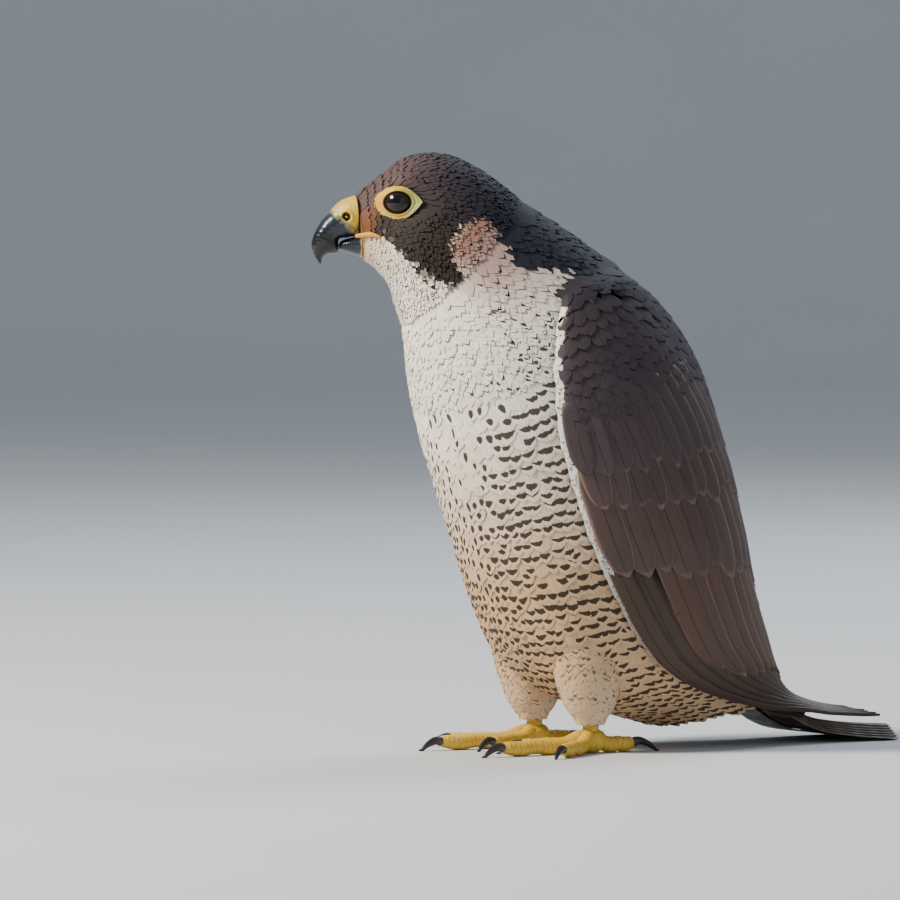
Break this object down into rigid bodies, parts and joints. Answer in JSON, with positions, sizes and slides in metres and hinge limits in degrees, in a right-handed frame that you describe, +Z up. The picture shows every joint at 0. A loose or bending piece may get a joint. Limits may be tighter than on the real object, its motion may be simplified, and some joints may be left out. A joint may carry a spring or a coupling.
{
  "type": "peregrine falcon model",
  "caption": "Life-size still model of a standing peregrine falcon with folded wings, barred breast and head turned to its right.",
  "frame": {"origin": "on the floor, under the middle of the bounding box of the whole bird", "axes": "+Z is up; +X is the left side of the bird and -Y is the way its body faces"},
  "size_m": [0.129, 0.2814, 0.263],
  "materials": {
    "slate_plumage": "soft matte dark slate feathers with a bluish tone",
    "barred_plumage": "soft cream feathers with small dark spots and wavy bars",
    "wing_plumage": "smooth close brown-grey flight feathers with pale edges",
    "yellow_skin": "bare yellow skin with fine scales",
    "dark_horn": "smooth blue-black horn with a soft gloss",
    "eye": "very dark brown glossy eye"
  },
  "bodies": {
    "root": {"head": "slate_plumage", "neck": "slate_plumage", "torso": "barred_plumage", "wing_left": "wing_plumage", "wing_right": "wing_plumage", "tail": "wing_plumage", "thigh_left": "barred_plumage", "thigh_right": "barred_plumage", "foot_left": "yellow_skin", "foot_right": "yellow_skin", "claw_inner_left": "dark_horn", "claw_inner_right": "dark_horn", "claw_middle_left": "dark_horn", "claw_middle_right": "dark_horn", "claw_outer_left": "dark_horn", "claw_outer_right": "dark_horn", "claw_hind_left": "dark_horn", "claw_hind_right": "dark_horn", "eye_left": "eye", "eye_right": "eye", "eyelids_left": "yellow_skin", "eyelids_right": "yellow_skin", "cere": "yellow_skin", "bill_upper": "dark_horn", "bill_lower": "dark_horn"}
  },
  "joints": []
}
